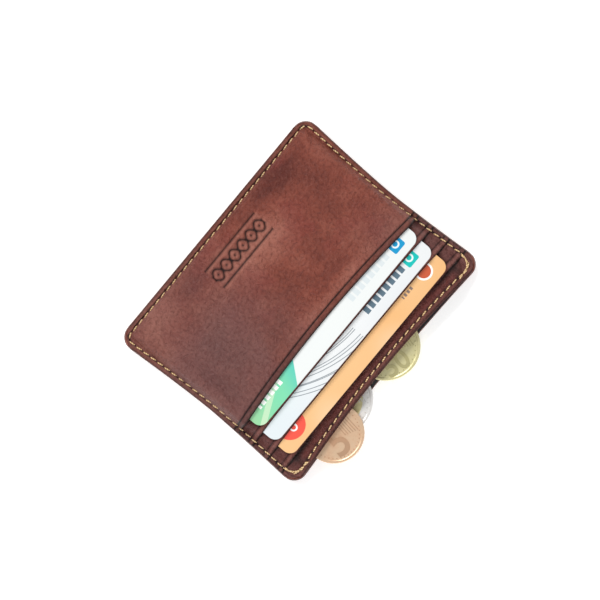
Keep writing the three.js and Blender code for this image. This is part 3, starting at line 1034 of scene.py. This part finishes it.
def round_edges(piece, width):
    rounding = piece.modifiers.new("rounding", "BEVEL")
    rounding.width = width
    rounding.segments = 2
    rounding.limit_method = "ANGLE"
    bpy.ops.object.modifier_apply(modifier="rounding")


def card_blank(node, body, material):
    low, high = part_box(node)
    clear_selection()
    bpy.ops.mesh.primitive_cube_add(size=1, scale=(CARD_W, CARD_L, CARD_T))
    bpy.ops.object.transform_apply(location=False, rotation=False, scale=True)
    card = bpy.context.object
    card.name = node + "_print"

    def upright(edge):
        a, b = (card.data.vertices[i].co for i in edge.vertices)
        return abs(a.z - b.z) > CARD_T / 2

    pick(card, "EDGE", upright)
    bpy.ops.mesh.bevel(offset=CARD_R, segments=12, affect="EDGES")
    bpy.ops.object.mode_set(mode="OBJECT")
    round_edges(card, 0.1 * MM)
    bpy.ops.object.shade_smooth_by_angle(angle=math.radians(40))
    middle = (Vector(low) + Vector(high)) / 2
    card.data.transform(Matrix.Translation(middle) @ Matrix.Rotation(math.atan(LEAN), 4, "X"))
    card.data.materials.append(material)
    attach(card, body)
    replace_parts(card, node)
    return card


# %% [markdown]
# The prints are made of masks, which are 1 inside a shape and 0 outside. A box is four
# comparisons, a disc is a distance, and a row of bars stands in where a card would carry words.

# %% Card prints


class Print(Finish):
    """A finish whose place is counted in millimetres from the card's lower left corner."""

    def __init__(self, name, node, ground):
        super().__init__(name, roughness=0.28)
        low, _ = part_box(node)
        x, y, _ = self.xyz()
        self.x = self.times(self.minus(x, low[0]), 1 / MM)
        self.y = self.times(self.minus(y, low[1]), 1 / MM)
        self.colour = ground

    def between(self, value, low, high):
        over = self.maths("GREATER_THAN", value, low)
        return self.times(over, self.maths("LESS_THAN", value, high))

    def box(self, x0, x1, y0, y1):
        return self.times(self.between(self.x, x0, x1), self.between(self.y, y0, y1))

    def length(self, dx, dy):
        squares = self.times(dx, dx), self.times(dy, dy)
        return self.maths("SQRT", self.maths("ADD", *squares))

    def away(self, cx, cy):
        return self.length(self.minus(self.x, cx), self.minus(self.y, cy))

    def disc(self, cx, cy, radius, inner=0.0):
        return self.between(self.away(cx, cy), inner if inner else -1, radius)

    def past(self, value, centre, reach):
        """How far a value lies beyond a reach on either side of a centre, or 0."""
        off = self.maths("ABSOLUTE", self.minus(value, centre))
        return self.maths("MAXIMUM", self.minus(off, reach), 0)

    def tile(self, cx, cy, half, corner):
        """A square with round corners."""
        dx = self.past(self.x, cx, half - corner)
        dy = self.past(self.y, cy, half - corner)
        return self.maths("LESS_THAN", self.length(dx, dy), corner)

    def bars(self, x0, x1, y0, y1, pitch, fill):
        step = self.maths("FRACT", self.maths("DIVIDE", self.minus(self.x, x0), pitch))
        return self.times(self.box(x0, x1, y0, y1), self.maths("LESS_THAN", step, fill))

    def ink(self, mask, colour, strength=1.0):
        self.colour = self.mix(self.times(mask, strength), self.colour, colour)

    def emblem(self, cy, colour, ring):
        """A plain tile with a ring on it, near the card's left edge."""
        self.ink(self.tile(7.2, cy, 2.6, 0.7), colour)
        self.ink(self.disc(7.2, cy, 1.5, 0.9), ring)

    def chip(self, x0, y0):
        """Gold contacts of 12 by 9.5 mm, parted by thin dark lines."""
        gold, gap, line = (0.62, 0.47, 0.22), (0.20, 0.14, 0.06), 0.15
        x1, y1 = x0 + 12, y0 + 9.5
        self.ink(self.box(x0, x1, y0, y1), gold)
        for k in range(1, 4):
            self.ink(self.box(x0 + 3 * k - line, x0 + 3 * k + line, y0, y1), gap)
        self.ink(self.box(x0, x1, y0 + 4.75 - line, y0 + 4.75 + line), gap)

    def done(self):
        self.set("Base Color", self.colour)
        self.set("Coat Weight", 0.25)
        self.set("Coat Roughness", 0.12)
        self.set("Normal", self.relief(self.noise(900, detail=2), 0.01 * MM, 0.2))
        return self.material


def green_card():
    p = Print("green_card", "card_front", (0.77, 0.80, 0.795))
    edge = p.maths("MULTIPLY_ADD", p.y, 0.85, 20.3)
    inside = p.maths("GREATER_THAN", p.x, edge)
    along = p.maths("ADD", p.x, p.times(p.y, -0.35))
    teal_to_green = p.mix(p.range(along, 42, 54), (0.09, 0.56, 0.47), (0.20, 0.66, 0.40))
    wash = p.mix(p.range(along, 54, 70), teal_to_green, (0.30, 0.62, 0.33))
    p.ink(inside, wash)
    pale = p.times(inside, p.between(p.maths("MULTIPLY_ADD", p.y, -2.15, p.x), -33.4, -28.6))
    p.ink(pale, (0.70, 0.82, 0.60), 0.55)
    p.ink(p.bars(68.5, 80.5, 46.8, 49.4, 2.2, 0.66), (0.93, 0.97, 0.93))
    p.emblem(48.7, (0.005, 0.30, 0.58), (0.80, 0.90, 0.94))
    p.ink(p.bars(11.8, 32.5, 47.1, 50.2, 2.6, 0.7), (0.66, 0.72, 0.74))
    p.chip(9, 24)
    p.ink(p.bars(9, 60, 14, 16.2, 1.6, 0.6), (0.55, 0.62, 0.64))
    return p.done()


def contour_card():
    p = Print("contour_card", "card_middle", (0.76, 0.78, 0.79))
    p.ink(p.range(p.x, 50, 80), (0.66, 0.74, 0.78), 0.7)
    lines = 0
    for k in range(10):
        ring = p.away(38.6 - 0.9 * k, 3.9 - 0.5 * k)
        radius = 43 + 2.15 * k + 0.5 * math.sin(2.4 * k)
        lines = p.maths("MAXIMUM", lines, p.between(ring, radius - 0.15, radius + 0.15))
    p.ink(p.times(lines, p.between(p.x, 38, 80)), (0.13, 0.16, 0.19), 0.75)
    p.ink(p.range(p.away(20, 70), 26, 10), (0.62, 0.68, 0.72), 0.35)
    p.emblem(48.3, (0.004, 0.50, 0.46), (0.80, 0.93, 0.92))
    p.ink(p.bars(11.2, 32, 46.6, 50.0, 2.6, 0.7), (0.10, 0.16, 0.21))
    p.chip(9, 24)
    return p.done()


def orange_card():
    p = Print("orange_card", "card_rear", (0.82, 0.42, 0.15))
    glow = p.noise(26, detail=1)
    p.ink(p.range(glow, 0.35, 0.65), (0.82, 0.50, 0.24), 0.9)
    for cx in (33, 66):
        p.ink(p.range(p.away(cx, 57), 11, 0), (0.86, 0.62, 0.40), 0.55)
    p.ink(p.disc(7.1, 48.2, 3.2), (0.95, 0.93, 0.90))
    p.ink(p.disc(7.1, 48.2, 2.5), (0.55, 0.10, 0.04))
    p.ink(p.disc(77.2, 46.4, 5.4), (0.83, 0.09, 0.06))
    p.ink(p.disc(77.2, 48.0, 1.4, 0.8), (0.95, 0.90, 0.88))
    p.ink(p.bars(14, 19, 48.0, 49.2, 1.5, 0.6), (0.25, 0.18, 0.15))
    p.chip(9, 22)
    return p.done()


card_blank("card_front", "front_card", green_card())
card_blank("card_middle", "middle_card", contour_card())
card_blank("card_rear", "rear_card", orange_card())

# %% [markdown]
# A coin is a struck disc: a raised rim, a sunk field and a raised numeral with a ring of beads.
# The rim and the field are made by insetting the flat face and pushing it down, on both sides.
# The raised work is painted darker, and the patches of the metal have tarnished. Seen with the bars
# upright, the numeral stands on its head.

# %% Coins


def coin_metal(name, clean, tarnish):
    """Dull pale field; the painted value struck is 1 on the relief, which is painted darker."""
    f = Finish(name, roughness=0.34, metallic=0.62)
    patches = f.noise(190, detail=4, rough=0.6, distortion=0.4)
    colour = f.mix(f.range(patches, 0.35, 0.75, 0, 0.6), clean, tarnish)
    f.set("Base Color", f.mix(f.times(f.painted("struck"), 0.6), colour, tarnish))
    f.set("Roughness", f.range(patches, 0.3, 0.7, 0.28, 0.46))
    f.set("Normal", f.relief(f.noise(1400, detail=3), 0.03 * MM, 0.5))
    return f.material


BRASS = coin_metal("worn_brass", (0.86, 0.80, 0.46), (0.46, 0.41, 0.18))
COPPER = coin_metal("worn_copper", (0.90, 0.64, 0.43), (0.52, 0.28, 0.16))
NICKEL = coin_metal("worn_nickel", (0.97, 0.96, 0.94), (0.52, 0.50, 0.46))


RIM = 0.9 * MM
SLOPE = 0.12 * MM                  # from the top of the rim down to the field
FIELD_DEPTH = 0.16 * MM
CORE_DEPTH = 0.05 * MM
CORE_SLOPE = 0.1 * MM
BEADS, BARS = 40, 6


def coin_blank(radius, thick, metals, core_share):
    """A disc with a rim and a sunk field on both faces, and perhaps a core of another metal."""
    clear_selection()
    bpy.ops.mesh.primitive_cylinder_add(vertices=96, radius=radius, depth=thick)
    coin = bpy.context.object
    for metal in metals:
        coin.data.materials.append(metal)
    for side in (1, -1):
        def on_this_side(face):
            return face.normal.z * side > 0.9

        pick(coin, "FACE", on_this_side)
        bpy.ops.mesh.inset(thickness=RIM)
        bpy.ops.mesh.inset(thickness=SLOPE)
        bpy.ops.transform.translate(value=(0, 0, -side * FIELD_DEPTH))
        if core_share:
            bpy.ops.mesh.inset(thickness=radius * (1 - core_share) - RIM - SLOPE)
            coin.active_material_index = 1
            bpy.ops.object.material_slot_assign()
            bpy.ops.mesh.inset(thickness=CORE_SLOPE)
            bpy.ops.transform.translate(value=(0, 0, -side * CORE_DEPTH))
    bpy.ops.object.mode_set(mode="OBJECT")
    round_edges(coin, 0.12 * MM)
    return coin


def coin_relief(radius, field, numeral, tall, spot):
    """A ring of beads, a row of bars and the numeral, as parts of their own."""
    parts = []
    ring = radius - 1.75 * MM
    for i in range(BEADS):
        angle = 2 * math.pi * i / BEADS
        bead = (math.cos(angle) * ring, math.sin(angle) * ring, field)
        bpy.ops.mesh.primitive_ico_sphere_add(subdivisions=1, radius=0.24 * MM, location=bead)
        parts.append(bpy.context.object)
    for i in range(BARS):
        bar = (0.3 * MM, radius * (0.62 - 0.06 * i), 0.2 * MM)
        place = (-radius * 0.66 + 0.9 * MM * i, radius * 0.14, field)
        bpy.ops.mesh.primitive_cube_add(size=1, scale=bar, location=place)
        bpy.ops.object.transform_apply(location=True, rotation=False, scale=True)
        parts.append(bpy.context.object)
    bpy.ops.object.text_add()
    text = bpy.context.object
    text.data.body = numeral
    text.data.size = radius * tall
    text.data.align_x = "CENTER"
    text.data.align_y = "CENTER"
    text.data.extrude = 0.16 * MM
    text.data.offset = 0.12 * MM
    bpy.ops.object.convert(target="MESH")
    text = bpy.context.object
    place = Matrix.Translation((spot[0] * radius, spot[1] * radius, field))
    text.data.transform(place @ Matrix.Rotation(math.pi, 4, "Z"))
    return [*parts, text]


def strike_coin(node, body, rim_metal, core_metal, numeral, tall, turn, spot, core_share=None):
    low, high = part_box(node)
    middle = (Vector(low) + Vector(high)) / 2
    radius, thick = (high[0] - low[0]) / 2, high[2] - low[2]
    coin = coin_blank(radius, thick, (rim_metal, core_metal), core_share)
    coin.name = node + "_struck"
    field = thick / 2 - FIELD_DEPTH - (CORE_DEPTH if core_share else 0)
    relief = coin_relief(radius, field, numeral, tall, spot)
    for part in relief:
        struck = part.data.attributes.new("struck", "FLOAT", "POINT")
        struck.data.foreach_set("value", [1.0] * len(part.data.vertices))
        part.data.materials.clear()
        part.data.materials.append(rim_metal)
    clear_selection()
    for part in [coin, *relief]:
        part.select_set(True)
    bpy.context.view_layer.objects.active = coin
    bpy.ops.object.join()
    bpy.ops.object.shade_smooth_by_angle(angle=math.radians(35))
    coin.data.transform(Matrix.Translation(middle) @ Matrix.Rotation(math.radians(turn), 4, "Z"))
    coin.matrix_world = Matrix.Identity(4)
    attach(coin, body)
    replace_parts(coin, node)
    print(coin.name, len(coin.data.polygons), "faces")


strike_coin("coin_brass", "brass_coin", BRASS, BRASS, "50", 0.80, -14, (0.06, 0.60))
strike_coin("coin_two_tone", "two_tone_coin", NICKEL, BRASS, "1", 0.9, -20, (-0.15, 0.30), core_share=0.72)
strike_coin("coin_copper", "copper_coin", COPPER, COPPER, "5", 1.35, -8, (0.10, 0.34))
